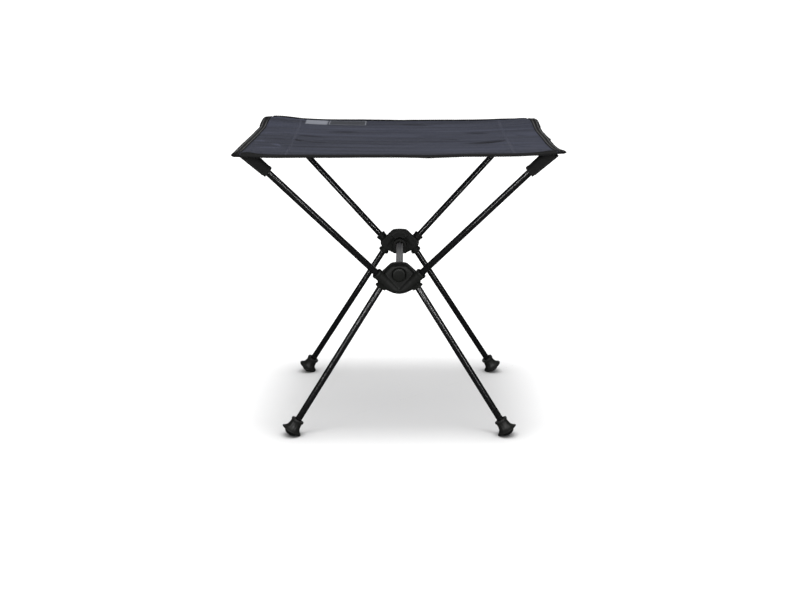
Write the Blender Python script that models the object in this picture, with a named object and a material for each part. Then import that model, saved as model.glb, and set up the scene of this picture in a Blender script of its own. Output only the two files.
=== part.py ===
"""Folding camp table: two moulded hubs joined by a spreader tube, four upper
poles that hold a woven top out flat by its corner pockets, four legs with
flared feet, all strung on elastic cord.

Metres, +Z up. Front is -Y, left is -X. The origin is on the ground under the
middle of the table.
"""

import math

import bmesh
import bpy
from mathutils import Vector

for old in list(bpy.data.objects):
    bpy.data.objects.remove(old, do_unlink=True)

# ---------------------------------------------------------------- dimensions
MM = 0.001
GAP = 0.3 * MM                  # clearance between neighbouring pieces

TUBE_R = 5.0 * MM               # poles and legs are 10 mm across
TUBE_WALL = 0.9 * MM
SPREADER_R = 5.8 * MM
BORE_R = TUBE_R + 0.35 * MM
CORD_R = 1.5 * MM
CORD_HOLE_R = CORD_R + GAP

# Upper pole axis: a point on it in the hub and the way it points, for the
# front right pole. The others mirror it.
HUB_X = 20.65 * MM
UPPER_Y = 153.5 * MM
LEG_Y = 140.5 * MM
CROSS_Z = 237.5 * MM
UPPER_DIR = Vector((0.6770, -0.2287, 0.6995)).normalized()
LEG_DIR = Vector((0.5287, -0.1158, -0.8410)).normalized()

UPPER_SEAT = -9.4 * MM          # distances along the pole from the hub point
UPPER_MOUTH = 20.0 * MM
UPPER_END = 280.0 * MM
TIP_END = 288.0 * MM
LEG_SEAT = -15.2 * MM
LEG_MOUTH = 15.4 * MM

FOOT_DISC_Z = 8.1 * MM          # height of the middle of the foot's rim
FOOT_RIM_R = 16.0 * MM
FOOT_COLLAR = 19.3 * MM
FOOT_SEAT = 5.0 * MM

ARM_R = 7.75 * MM
LEG_ARM_R = 7.4 * MM
UPPER_RIM_R = 8.5 * MM
LEG_RIM_R = 8.9 * MM
DISC_R = 21.3 * MM
DOME_Z = 263.7 * MM             # top and bottom of the hub's outline
KEEL_Z = 217.4 * MM
KEEL_R = 31.5 * MM
TRIM_Z = 222.2 * MM             # lower end of the ridges on the hub's face
TRIM_R = 42.0 * MM
DISC_Z = 241.5 * MM
FACE_D = 156.0 * MM             # hub's outer face, from the middle plane
BACK_D = 133.0 * MM             # hub's inner face
BOSS_R = 12.0 * MM
BOSS_D = 121.0 * MM
BOSS_LOW = 224.1 * MM
SPREADER_Z = 238.0 * MM
SPREADER_END = 147.7 * MM
CAP_R = 10.5 * MM
CAP_Z = 247.5 * MM
CAP_SEAT = 152.5 * MM
CAP_FACE = 159.6 * MM

TOP_HALF = 237.0 * MM           # half the side of the finished top
BIND_W = 14.0 * MM
BIND_T = 0.5 * MM
FABRIC_T = 1.2 * MM
FABRIC_HALF = TOP_HALF - 3.3 * MM
CORNER_X = 215.6 * MM           # where the pole tips lift the fabric
CORNER_Y = 219.4 * MM
EDGE_Z = 438.6 * MM
SAG_X = 1.0 * MM
SAG_Y = 1.0 * MM
PEAK = 9.8 * MM
PEAK_REACH = 30.0 * MM
PEAK_ROUND = 20.0 * MM
PEAK_OUTER = 2.3                # how much faster the fabric drops outside the tips

POCKET_R = 7.2 * MM
POCKET_T = 1.2 * MM
POCKET_LEG = 5.5 * MM
POCKET_MOUTH = 247.0 * MM
POCKET_END = TIP_END + 2.3 * MM

SEAM_X = 168.0 * MM
SEAM_W = 10.0 * MM

SIDES = 32                      # facets round a tube


# ----------------------------------------------------------------- materials
def material(name, colour, roughness, metallic=0.0):
    mat = bpy.data.materials.new(name)
    mat.use_nodes = True
    mat.diffuse_color = (*colour, 1.0)
    shader = mat.node_tree.nodes["Principled BSDF"]
    shader.inputs["Base Color"].default_value = (*colour, 1.0)
    shader.inputs["Roughness"].default_value = roughness
    shader.inputs["Metallic"].default_value = metallic
    return mat


LOOKS = {
    "hub": ((0.020, 0.021, 0.019), 0.50, 0.0),
    "cap": ((0.018, 0.019, 0.018), 0.45, 0.0),
    "pole": ((0.012, 0.012, 0.013), 0.25, 0.9),
    "spreader": ((0.16, 0.165, 0.17), 0.35, 0.9),
    "tip": ((0.020, 0.020, 0.020), 0.50, 0.0),
    "foot": ((0.022, 0.023, 0.021), 0.60, 0.0),
    "plug": ((0.030, 0.030, 0.030), 0.55, 0.0),
    "cord": ((0.045, 0.045, 0.048), 0.85, 0.0),
    "fabric": ((0.050, 0.058, 0.085), 0.85, 0.0),
    "binding": ((0.016, 0.016, 0.016), 0.85, 0.0),
    "pocket": ((0.015, 0.015, 0.015), 0.80, 0.0),
    "tape": ((0.016, 0.016, 0.017), 0.85, 0.0),
    "label": ((0.42, 0.43, 0.45), 0.75, 0.0),
    "label_frame": ((0.055, 0.062, 0.085), 0.80, 0.0),
}


# ------------------------------------------------------------------- meshing
def add_object(name, verts, faces, look=None, parent=None, smooth=30.0):
    """One object from points and faces, with its faces turned outwards."""
    mesh = bpy.data.meshes.new(name)
    mesh.from_pydata([tuple(v) for v in verts], [], faces)
    bm = bmesh.new()
    bm.from_mesh(mesh)
    bmesh.ops.recalc_face_normals(bm, faces=bm.faces)
    bm.to_mesh(mesh)
    bm.free()
    for face in mesh.polygons:
        face.use_smooth = True
    mesh.set_sharp_from_angle(angle=math.radians(smooth))
    obj = bpy.data.objects.new(name, mesh)
    bpy.context.scene.collection.objects.link(obj)
    if look:
        obj.data.materials.append(material(name, *LOOKS[look]))
    if parent:
        obj.parent = parent
    return obj


def helper(obj):
    """Marks a shape that only adds to or cuts another one."""
    obj.hide_render = True
    obj.display_type = "WIRE"
    return obj


def combine(obj, operation, other):
    mod = obj.modifiers.new(operation.lower() + "_" + other.name, "BOOLEAN")
    mod.operation = operation
    mod.solver = "EXACT"
    mod.object = other


def revolved(name, profile, origin, axis, look=None, parent=None, sides=SIDES, smooth=30.0):
    """Turns a profile of (radius, distance) round an axis. A profile that
    starts and ends at radius 0 gives a solid; otherwise it closes on itself
    and gives a ring."""
    verts, rows, faces = [], [], []
    for radius, along in profile:
        if radius == 0:
            rows.append([len(verts)] * sides)
            verts.append((0.0, 0.0, along))
            continue
        row = []
        for k in range(sides):
            angle = 2 * math.pi * (k + 0.5) / sides
            row.append(len(verts))
            verts.append((radius * math.cos(angle), radius * math.sin(angle), along))
        rows.append(row)
    closed = profile[0][0] != 0
    pairs = list(zip(rows, rows[1:]))
    if closed:
        pairs.append((rows[-1], rows[0]))
    for low, high in pairs:
        for k in range(sides):
            j = (k + 1) % sides
            corner = [low[k], low[j], high[j], high[k]]
            face = [v for n, v in enumerate(corner) if v not in corner[:n]]
            if len(face) > 2:
                faces.append(face)
    obj = add_object(name, verts, faces, look, parent, smooth)
    obj.location = origin
    obj.rotation_mode = "QUATERNION"
    obj.rotation_quaternion = Vector(axis).to_track_quat("Z", "Y")
    return obj


def lofted(name, sections, look=None, parent=None, smooth=30.0):
    """Joins sections with the same number of points into one solid."""
    count = len(sections[0])
    verts = [p for section in sections for p in section]
    faces = [list(range(count)), [len(verts) - count + k for k in range(count)]]
    for s in range(len(sections) - 1):
        for k in range(count):
            j = (k + 1) % count
            faces.append([s * count + k, s * count + j, (s + 1) * count + j, (s + 1) * count + k])
    return add_object(name, verts, faces, look, parent, smooth)


def box(name, low, high):
    corners = [(x, y) for x, y in ((low[0], low[1]), (high[0], low[1]), (high[0], high[1]), (low[0], high[1]))]
    return lofted(name, [[(x, y, z) for x, y in corners] for z in (low[2], high[2])])


def hull(points):
    """Convex outline of points in a plane, anticlockwise."""
    points = sorted(set(points))

    def half(row):
        out = []
        for p in row:
            while len(out) > 1 and (
                (out[-1][0] - out[-2][0]) * (p[1] - out[-2][1])
                - (out[-1][1] - out[-2][1]) * (p[0] - out[-2][0])
            ) <= 0:
                out.pop()
            out.append(p)
        return out

    lower, upper = half(points), half(points[::-1])
    return lower[:-1] + upper[:-1]


# ------------------------------------------------------------------ the top
def grid_lines():
    """Grid of the fabric: coarse in the middle, fine at the corners."""
    inner = [180.0 * MM * k / 6 for k in range(7)]
    outer = [180.0 * MM + (FABRIC_HALF - 180.0 * MM) * k / 9 for k in range(1, 10)]
    half = inner + outer
    return [-v for v in half[:0:-1]] + half


LINES = grid_lines()


def lift(x, y):
    """Height of the middle of the fabric: a slight sag between the corners,
    which the pole tips push up."""
    ax, ay = abs(x), abs(y)
    height = EDGE_Z - SAG_X * (1 - (ax / TOP_HALF) ** 2) - SAG_Y * (1 - (ay / TOP_HALF) ** 2)
    dx, dy = ax - CORNER_X, ay - CORNER_Y
    dx *= PEAK_OUTER if dx > 0 else 1.0
    dy *= PEAK_OUTER if dy > 0 else 1.0
    away = math.sqrt(dx * dx + dy * dy + PEAK_ROUND**2) - PEAK_ROUND
    return height + PEAK * math.exp(-away / PEAK_REACH)


def surface(x, y):
    """The same height, taken on the fabric's own grid."""

    def cell(v):
        k = 0
        while k < len(LINES) - 2 and v > LINES[k + 1]:
            k += 1
        return k, (v - LINES[k]) / (LINES[k + 1] - LINES[k])

    i, fx = cell(x)
    j, fy = cell(y)
    low = lift(LINES[i], LINES[j]) * (1 - fx) + lift(LINES[i + 1], LINES[j]) * fx
    high = lift(LINES[i], LINES[j + 1]) * (1 - fx) + lift(LINES[i + 1], LINES[j + 1]) * fx
    return low * (1 - fy) + high * fy


def sheet(name, xs, ys, below, above, look=None, parent=None):
    """A thin solid that follows the fabric between two offsets, each a
    number or a function of the place."""

    def offset(value, x, y):
        return value(x, y) if callable(value) else value

    verts, faces = [], []
    for value in (below, above):
        for y in ys:
            for x in xs:
                verts.append((x, y, surface(x, y) + offset(value, x, y)))
    nx, ny = len(xs), len(ys)
    layer = nx * ny
    for j in range(ny - 1):
        for i in range(nx - 1):
            a = j * nx + i
            quad = [a, a + 1, a + nx + 1, a + nx]
            faces.append(quad)
            faces.append([v + layer for v in quad])
    rim = (
        [i for i in range(nx)]
        + [j * nx + nx - 1 for j in range(1, ny)]
        + [(ny - 1) * nx + i for i in range(nx - 2, -1, -1)]
        + [j * nx for j in range(ny - 2, 0, -1)]
    )
    for a, b in zip(rim, rim[1:] + rim[:1]):
        faces.append([a, b, b + layer, a + layer])
    return add_object(name, verts, faces, look, parent)


def between(low, high):
    """Grid lines inside a span, with the span's own ends."""
    inner = [v for v in LINES if low + 0.5 * MM < v < high - 0.5 * MM]
    return [low] + inner + [high]


def binding(name, along_y, side, reach, parent):
    """Folded tape over one edge of the fabric, open on its inner side."""
    thick = FABRIC_T / 2 + 0.4 * MM
    outer = thick + BIND_T
    folds = [TOP_HALF - v for v in LINES if TOP_HALF - BIND_W < v < FABRIC_HALF - 0.5 * MM]
    shape = (
        [(BIND_W, outer)] + [(w, outer) for w in folds] + [(1.0 * MM, outer), (0.0, 0.8 * MM), (0.0, -0.8 * MM),
        (1.0 * MM, -outer)] + [(w, -outer) for w in folds[::-1]] + [(BIND_W, -outer), (BIND_W, -thick)]
        + [(w, -thick) for w in folds] + [(3.0 * MM, -thick), (3.0 * MM, thick)]
        + [(w, thick) for w in folds[::-1]] + [(BIND_W, thick)]
    )
    sections = []
    for v in between(-reach, reach):
        section = []
        for inward, up in shape:
            u = side * (TOP_HALF - inward)
            x, y = (u, v) if along_y else (v, u)
            section.append((x, y, surface(x, y) + up))
        sections.append(section)
    return lofted(name, sections, "binding", parent)


# ------------------------------------------------------------- frame pieces
def tube(name, start, end, origin, axis, look, parent, radius=TUBE_R):
    inner = radius - TUBE_WALL
    profile = [(inner, start), (radius, start), (radius, end), (inner, end)]
    return revolved(name, profile, origin, axis, look, parent)


def cord(name, start, end, origin, axis, parent):
    profile = [(0, start), (CORD_R, start), (CORD_R, end), (0, end)]
    return revolved(name, profile, origin, axis, "cord", parent, sides=12)


def outline(keel, keel_r):
    """Outline of the hub's plate, as (x, z): a flat-topped dome with sloping
    shoulders, and an arc below down to the given height."""
    points = []
    for k in range(-8, 9):
        x = 20.0 * MM * k / 8
        points.append((round(x, 7), round(keel + keel_r - math.sqrt(keel_r**2 - x * x), 7)))
    points.append((0.0, DOME_Z))
    for side in (-1, 1):
        for x, drop in ((6.0, 0.15), (10.0, 0.7), (12.0, 1.5), (13.8, 2.8), (16.2, 5.2), (18.8, 8.0), (21.6, 11.0)):
            points.append((side * x * MM, DOME_Z - drop * MM))
        for x, z in ((26.0, 226.7), (30.5, 230.6), (33.0, 235.4), (33.3, 240.6)):
            points.append((side * x * MM, z * MM))
    return hull(points)


def plate(name, keel, keel_r, steps):
    """Solid with the hub's outline, at each depth scaled sideways and fitted
    between a lower and an upper height."""
    shape = outline(keel, keel_r)
    sections = []
    for depth, across, low, high in steps:
        tall = (high - low) / (DOME_Z - keel)
        sections.append([(x * across, -depth, low + (z - keel) * tall) for x, z in shape])
    return lofted(name, sections)


def tunnel(name):
    """Housing of the spreader's socket: round above, straight down to the
    hub's lower edge."""
    sections = []
    for depth, inset in ((BOSS_D, 1.6 * MM), (BOSS_D + 0.5 * MM, 0.5 * MM), (BOSS_D + 1.6 * MM, 0.0), (141.0 * MM, 0.0)):
        r = BOSS_R - inset
        section = []
        for k in range(17):
            angle = math.pi * k / 16
            section.append((r * math.cos(angle), -depth, SPREADER_Z + r * math.sin(angle)))
        low = BOSS_LOW + inset
        section += [(-r, -depth, low + 1.5 * MM), (-r + 1.5 * MM, -depth, low), (r - 1.5 * MM, -depth, low), (r, -depth, low + 1.5 * MM)]
        sections.append(section)
    return lofted(name, sections)


def half(word, turn):
    """One end of the table: hub, cap, two upper poles and two legs. The back
    end is the front end turned half way round."""
    frame = bpy.data.objects.new(word + "_half", None)
    bpy.context.scene.collection.objects.link(frame)
    frame.rotation_euler = (0.0, 0.0, math.pi if turn else 0.0)
    tag = word[0]
    out = (0.0, -1.0, 0.0)

    def part(obj):
        obj.parent = frame
        return obj

    # Hub body.
    face_profile = [
        (0, BACK_D), (17.8 * MM, BACK_D), (18.9 * MM, BACK_D + 1.2 * MM), (19.8 * MM, 137.5 * MM),
        (DISC_R, 142.0 * MM), (DISC_R, 150.0 * MM), (20.7 * MM, 152.8 * MM),
        (19.4 * MM, 155.0 * MM), (17.4 * MM, FACE_D), (0, FACE_D),
    ]
    hub = revolved(word + "_hub", face_profile, (0, 0, DISC_Z), out, "hub", frame, sides=40)
    web = part(helper(plate(word + "_web", KEEL_Z, KEEL_R, [
        (depth * MM, across, low * MM, high * MM) for depth, across, low, high in (
            (133.45, 0.955, 222.4, 263.0), (135.3, 0.999, 221.9, 263.5), (140.0, 0.999, 220.9, 263.7),
            (145.0, 0.998, 219.6, 263.5), (149.5, 0.990, 218.0, 262.8), (152.0, 0.970, 217.4, 262.0),
            (153.7, 0.942, 217.7, 261.0), (155.2, 0.890, 218.8, 259.9))
    ])))
    combine(hub, "UNION", web)
    combine(hub, "UNION", part(helper(tunnel(word + "_boss"))))
    trim = part(helper(plate(word + "_trim", TRIM_Z, TRIM_R, (
        (139.0 * MM, 0.985, TRIM_Z + 0.3 * MM, DOME_Z - 0.4 * MM), (170.0 * MM, 0.985, TRIM_Z + 0.3 * MM, DOME_Z - 0.4 * MM)))))

    bores = []
    for sx in (-1, 1):
        side = ("l" if sx < 0 else "r") if not turn else ("r" if sx < 0 else "l")
        mark = tag + side
        upper_at = Vector((sx * HUB_X, -UPPER_Y, CROSS_Z))
        upper_way = Vector((sx * UPPER_DIR.x, UPPER_DIR.y, UPPER_DIR.z))
        leg_at = Vector((sx * HUB_X, -LEG_Y, CROSS_Z))
        leg_way = Vector((sx * LEG_DIR.x, LEG_DIR.y, LEG_DIR.z))

        # Sockets: a rimmed arm outside, and the ridge that carries the upper
        # socket across the hub's face.
        def arm(kind, start, mouth, origin, axis, radius, rim):
            return helper(revolved(word + "_" + kind + "_" + side, [
                (0, start), (radius, start), (radius, mouth - 4.6 * MM), (rim, mouth - 3.8 * MM),
                (rim, mouth - 0.6 * MM), (rim - 0.6 * MM, mouth), (0, mouth),
            ], origin, axis, None, frame, sides=24))

        combine(hub, "UNION", arm("upper_arm", -1.0 * MM, UPPER_MOUTH, upper_at, upper_way, ARM_R, UPPER_RIM_R))
        combine(hub, "UNION", arm("leg_arm", -17.0 * MM, LEG_MOUTH, leg_at, leg_way, LEG_ARM_R, LEG_RIM_R))
        foot_of_v = Vector((sx * 0.2 * MM, -151.7 * MM, 216.9 * MM))
        run = foot_of_v - upper_at
        ridge = helper(revolved(word + "_ridge_" + side, [
            (0, -2.0 * MM), (ARM_R, -2.0 * MM), (ARM_R, run.length), (0, run.length),
        ], upper_at, run, None, frame, sides=24))
        combine(ridge, "INTERSECT", trim)
        combine(hub, "UNION", ridge)

        bores.append(helper(revolved(word + "_upper_bore_" + side, [
            (0, -13.5 * MM), (CORD_HOLE_R, -13.5 * MM), (CORD_HOLE_R, UPPER_SEAT - GAP),
            (BORE_R, UPPER_SEAT - GAP), (BORE_R, UPPER_MOUTH - 0.8 * MM),
            (BORE_R + 2.0 * MM, UPPER_MOUTH + 1.2 * MM), (0, UPPER_MOUTH + 1.2 * MM),
        ], upper_at, upper_way, None, frame, sides=24)))
        bores.append(helper(revolved(word + "_leg_bore_" + side, [
            (0, -19.3 * MM), (CORD_HOLE_R, -19.3 * MM), (CORD_HOLE_R, LEG_SEAT - GAP),
            (BORE_R, LEG_SEAT - GAP), (BORE_R, LEG_MOUTH - 0.8 * MM),
            (BORE_R + 2.0 * MM, LEG_MOUTH + 1.2 * MM), (0, LEG_MOUTH + 1.2 * MM),
        ], leg_at, leg_way, None, frame, sides=24)))

        # Upper pole, its tip and its cord.
        tube("upper_pole_" + mark, UPPER_SEAT, UPPER_END, upper_at, upper_way, "pole", frame)
        plug_r = TUBE_R - TUBE_WALL - GAP
        revolved("pole_tip_" + mark, [
            (0, TIP_END), (2.4 * MM, TIP_END - 0.4 * MM), (4.4 * MM, TIP_END - 1.8 * MM),
            (5.3 * MM, TIP_END - 4.2 * MM),
            (5.3 * MM, UPPER_END + GAP), (plug_r, UPPER_END + GAP), (plug_r, UPPER_END - 13.0 * MM),
            (CORD_HOLE_R, UPPER_END - 13.0 * MM), (CORD_HOLE_R, UPPER_END - 2.0 * MM),
            (0, UPPER_END - 2.0 * MM),
        ], upper_at, upper_way, "tip", frame, sides=24)
        cord("upper_cord_" + mark, -13.2 * MM, UPPER_END - 2.3 * MM, upper_at, upper_way, frame)

        # Leg, its foot, its end plug and its cord.
        disc = (CROSS_Z - FOOT_DISC_Z) / -leg_way.z
        leg_end = disc - FOOT_SEAT
        tube("leg_" + mark, LEG_SEAT, leg_end, leg_at, leg_way, "pole", frame)
        foot = revolved("foot_" + mark, [
            (0, disc + 7.6 * MM), (3.6 * MM, disc + 7.3 * MM), (7.0 * MM, disc + 6.0 * MM),
            (9.6 * MM, disc + 3.8 * MM), (10.7 * MM, disc + 1.7 * MM), (15.4 * MM, disc + 0.7 * MM),
            (FOOT_RIM_R, disc - 0.2 * MM), (14.4 * MM, disc - 1.6 * MM), (12.2 * MM, disc - 3.4 * MM),
            (10.3 * MM, disc - 6.4 * MM), (9.2 * MM, disc - 11.0 * MM), (9.1 * MM, disc - 15.6 * MM),
            (10.0 * MM, disc - 16.6 * MM), (10.0 * MM, disc - FOOT_COLLAR + 0.6 * MM),
            (9.4 * MM, disc - FOOT_COLLAR),
            (BORE_R, disc - FOOT_COLLAR), (BORE_R, leg_end + GAP), (0, leg_end + GAP),
        ], leg_at, leg_way, "foot", frame, smooth=50.0)
        ground = part(helper(box(word + "_ground_" + side, (
            -240 * MM, -240 * MM, -30 * MM), (240 * MM, -100 * MM, 0.0))))
        combine(foot, "DIFFERENCE", ground)
        revolved("leg_plug_" + mark, [
            (0, leg_end - 0.4 * MM), (plug_r, leg_end - 0.4 * MM),
            (plug_r, leg_end - 10.4 * MM), (CORD_HOLE_R, leg_end - 10.4 * MM),
            (CORD_HOLE_R, leg_end - 3.0 * MM), (0, leg_end - 3.0 * MM),
        ], leg_at, leg_way, "plug", frame, sides=16)
        cord("leg_cord_" + mark, -19.0 * MM, leg_end - 3.3 * MM, leg_at, leg_way, frame)

        # Corner pocket: a channel of webbing over the pole tip, open on its
        # underside so that the top lifts off.
        raised = Vector((0, 0, 1)) - upper_way * upper_way.z
        raised.normalize()
        across = upper_way.cross(raised)

        def channel(name, radius, leg, steps):
            shape = [(radius * math.cos(math.pi * k / 14), radius * math.sin(math.pi * k / 14)) for k in range(15)]
            shape += [(-radius, -leg), (radius, -leg)]
            sections = []
            for along, grow in steps:
                at = upper_at + upper_way * along
                sections.append([at + (across * u + raised * v) * grow for u, v in shape])
            return part(lofted(name, sections, None, None))

        outer_r = POCKET_R + POCKET_T
        pocket = channel("pocket_" + mark, outer_r, POCKET_LEG, (
            (POCKET_MOUTH, 1.06), (POCKET_MOUTH + 3.6 * MM, 1.06),
            (POCKET_MOUTH + 4.2 * MM, 1.0), (POCKET_END + POCKET_T, 1.0),
        ))
        pocket.data.materials.append(material("pocket_" + mark, *LOOKS["pocket"]))
        hollow = helper(channel(word + "_hollow_" + side, POCKET_R, POCKET_LEG + 6 * MM, (
            (POCKET_MOUTH - 8 * MM, 1.0), (POCKET_END, 1.0),
        )))
        combine(pocket, "DIFFERENCE", hollow)
        combine(pocket, "DIFFERENCE", fabric_cutter)

    socket_r = SPREADER_R + 0.35 * MM
    spreader_bore = helper(revolved(word + "_spreader_bore", [
        (0, BOSS_D - 2 * MM), (socket_r + 2.6 * MM, BOSS_D - 2 * MM), (socket_r, BOSS_D + 0.6 * MM),
        (socket_r, SPREADER_END + GAP), (CORD_HOLE_R, SPREADER_END + GAP),
        (CORD_HOLE_R, SPREADER_END + 2.9 * MM), (0, SPREADER_END + 2.9 * MM),
    ], (0, 0, SPREADER_Z), out, None, frame))
    recess = helper(revolved(word + "_cap_recess", [
        (0, CAP_SEAT), (CAP_R + GAP, CAP_SEAT), (CAP_R + GAP, 175 * MM), (0, 175 * MM),
    ], (0, 0, CAP_Z), out, None, frame))
    for cutter in bores + [spreader_bore, recess]:
        combine(hub, "DIFFERENCE", cutter)

    # Cap with two slots in its edge.
    cap = revolved(word + "_hub_cap", [
        (0, CAP_SEAT + GAP), (CAP_R, CAP_SEAT + GAP), (CAP_R, CAP_FACE - 2.0 * MM),
        (CAP_R - 0.8 * MM, CAP_FACE - 0.9 * MM), (CAP_R - 2.4 * MM, CAP_FACE - 0.2 * MM),
        (CAP_R - 4.0 * MM, CAP_FACE), (0, CAP_FACE + 0.3 * MM),
    ], (0, 0, CAP_Z), out, "cap", frame)
    for sx in (-1, 1):
        x = sorted((sx * 9.1 * MM, sx * 13.0 * MM))
        slot = part(helper(box(word + "_slot_" + ("l" if sx < 0 else "r"), (
            x[0], -170 * MM, CAP_Z - 3.2 * MM), (x[1], -153.5 * MM, CAP_Z + 3.2 * MM))))
        combine(cap, "DIFFERENCE", slot)
    return frame


# ---------------------------------------------------------------- assembling
def beneath(x, y):
    """Underside of the top: the fabric, and the thicker folded binding."""
    edge = max(abs(x), abs(y)) > TOP_HALF - BIND_W - 0.7 * MM
    return -(FABRIC_T / 2 + GAP + (BIND_T + GAP if edge else 0.0))


cut_lines = sorted(
    [v for v in LINES if abs(v) < TOP_HALF - BIND_W - 1.0 * MM or TOP_HALF - BIND_W < abs(v) < FABRIC_HALF - 0.5 * MM]
    + [side * v for side in (-1, 1) for v in (
        TOP_HALF - BIND_W - 0.9 * MM, TOP_HALF - BIND_W - 0.6 * MM, FABRIC_HALF, TOP_HALF + 20 * MM)]
)
fabric_cutter = helper(sheet("fabric_cutter", cut_lines, cut_lines, beneath, 0.05))

half("front", False)
half("back", True)

tube("spreader_tube", -SPREADER_END, SPREADER_END, (0, 0, SPREADER_Z), (0, -1, 0), "spreader", None, SPREADER_R)
cord("spreader_cord", -SPREADER_END - 2.6 * MM, SPREADER_END + 2.6 * MM, (0, 0, SPREADER_Z), (0, -1, 0), None)

top = bpy.data.objects.new("top_frame", None)
bpy.context.scene.collection.objects.link(top)
sheet("top_fabric", LINES, LINES, -FABRIC_T / 2, FABRIC_T / 2, "fabric", top)
binding("binding_left", True, -1, TOP_HALF, top)
binding("binding_right", True, 1, TOP_HALF, top)
binding("binding_front", False, -1, TOP_HALF - BIND_W - GAP, top)
binding("binding_back", False, 1, TOP_HALF - BIND_W - GAP, top)
for word, side in (("left", -1), ("right", 1)):
    ends = sorted((side * (SEAM_X - SEAM_W / 2), side * (SEAM_X + SEAM_W / 2)))
    reach = TOP_HALF - BIND_W - 0.6 * MM
    sheet("seam_tape_" + word, ends, between(-reach, reach),
          -(FABRIC_T / 2 + GAP + 0.6 * MM), -(FABRIC_T / 2 + GAP), "tape", top)

LABEL_Y = (182.6 * MM, 222.4 * MM)
for name, span in (("label_tab", (-163.0 * MM, -124.5 * MM)), ("label_frame", (-123.5 * MM, -57.0 * MM))):
    sheet(name, between(*span), between(*LABEL_Y), FABRIC_T / 2 + 0.2 * MM, FABRIC_T / 2 + 0.7 * MM,
          "label" if name == "label_tab" else "label_frame", top)
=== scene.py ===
import math

import bmesh
import bpy
import numpy as np
from mathutils import Matrix, Vector


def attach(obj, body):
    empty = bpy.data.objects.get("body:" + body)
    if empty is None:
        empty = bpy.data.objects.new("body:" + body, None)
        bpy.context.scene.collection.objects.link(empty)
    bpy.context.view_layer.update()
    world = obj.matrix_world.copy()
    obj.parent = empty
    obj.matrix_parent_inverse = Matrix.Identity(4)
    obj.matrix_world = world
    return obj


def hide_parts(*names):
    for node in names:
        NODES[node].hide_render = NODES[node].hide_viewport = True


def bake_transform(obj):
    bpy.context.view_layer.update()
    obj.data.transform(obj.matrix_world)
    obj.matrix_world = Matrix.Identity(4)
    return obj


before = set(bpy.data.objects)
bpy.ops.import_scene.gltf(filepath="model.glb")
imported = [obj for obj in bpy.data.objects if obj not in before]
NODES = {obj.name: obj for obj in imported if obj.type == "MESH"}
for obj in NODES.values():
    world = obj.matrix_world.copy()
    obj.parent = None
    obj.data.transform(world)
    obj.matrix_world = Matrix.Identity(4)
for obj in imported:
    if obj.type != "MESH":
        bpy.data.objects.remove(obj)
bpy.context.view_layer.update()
MM = 0.001

# ------------------------------------------------------------- dimensions
TUBE_R = 5.0 * MM
TUBE_WALL = 0.9 * MM
CORD_R = 1.5 * MM
SPREADER_R = 5.8 * MM
HUB_X, UPPER_Y, LEG_Y, CROSS_Z = 20.65 * MM, 153.5 * MM, 140.5 * MM, 237.5 * MM
UPPER_DIR = Vector((0.6770, -0.2287, 0.6995)).normalized()
LEG_DIR = Vector((0.5287, -0.1158, -0.8410)).normalized()
UPPER_SEAT, UPPER_END, TIP_END = -9.4 * MM, 280.0 * MM, 288.0 * MM
LEG_SEAT = -15.2 * MM
FOOT_DISC_Z, FOOT_SEAT, FOOT_COLLAR = 8.1 * MM, 5.0 * MM, 19.3 * MM
SPREADER_Z, SPREADER_END = 238.0 * MM, 147.7 * MM

TOP_HALF = 237.0 * MM
BIND_W = 14.0 * MM
FABRIC_HALF = TOP_HALF - 3.3 * MM
CORNER_X, CORNER_Y = 215.6 * MM, 219.4 * MM
# Heights in mm along the top's four edges, (place along the edge, height).
EDGE_FRONT = ((-237, 436.2), (-223, 435.8), (-174, 434.9), (-141, 435.5), (-93, 435.4), (-42, 435.8), (0, 435.8),
              (28, 435.3), (42, 434.3), (58, 435.3), (76, 436.0), (93, 436.8), (143, 436.8), (168, 437.1), (200, 438.4),
              (222, 439.8), (237, 441.0))
EDGE_BACK = ((-237, 445.8), (-222, 447.3), (-207, 447.2), (-193, 445.7), (-175, 443.3), (-157, 442.0), (-122, 440.8),
             (-70, 440.8), (0, 439.8), (54, 440.1), (124, 440.2), (160, 440.9), (177, 441.8), (195, 441.9), (212, 441.2),
             (222, 441.6), (237, 442.6))
EDGE_LEFT = ((-237, 437.2), (-190, 437.5), (-142, 437.7), (-107, 438.1), (-37, 437.8), (32, 438.0), (75, 438.5), (104, 438.5),
             (134, 438.7), (146, 439.8), (152, 442.6), (160, 445.0), (179, 446.8), (200, 447.8), (220, 447.4), (237, 446.2))
EDGE_RIGHT = ((-237, 441.2), (-226, 441.2), (-205, 439.4), (-180, 437.4), (-160, 435.7), (-140, 434.8), (-116, 434.1),
              (-84, 433.4), (-46, 433.8), (-33, 434.1), (-18, 435.6), (30, 435.7), (60, 435.3), (104, 436.3), (124, 437.8),
              (132, 439.1), (138, 441.6), (153, 444.0), (178, 446.6), (203, 445.2), (225, 443.6), (237, 442.8))
PEAKS = {"fl": 440.6 * MM, "fr": 442.0 * MM, "bl": 448.0 * MM, "br": 444.9 * MM}
SAG = 9.0 * MM
POCKET_R, POCKET_T, POCKET_LEG = 7.2 * MM, 1.2 * MM, 5.5 * MM
POCKET_MOUTH, POCKET_END = 247.0 * MM, TIP_END + 2.3 * MM
SEAM_X = 168.0 * MM

SIDES = ("fl", "fr", "bl", "br")
WORDS = {"fl": "front_left", "fr": "front_right", "bl": "back_left", "br": "back_right"}


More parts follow.
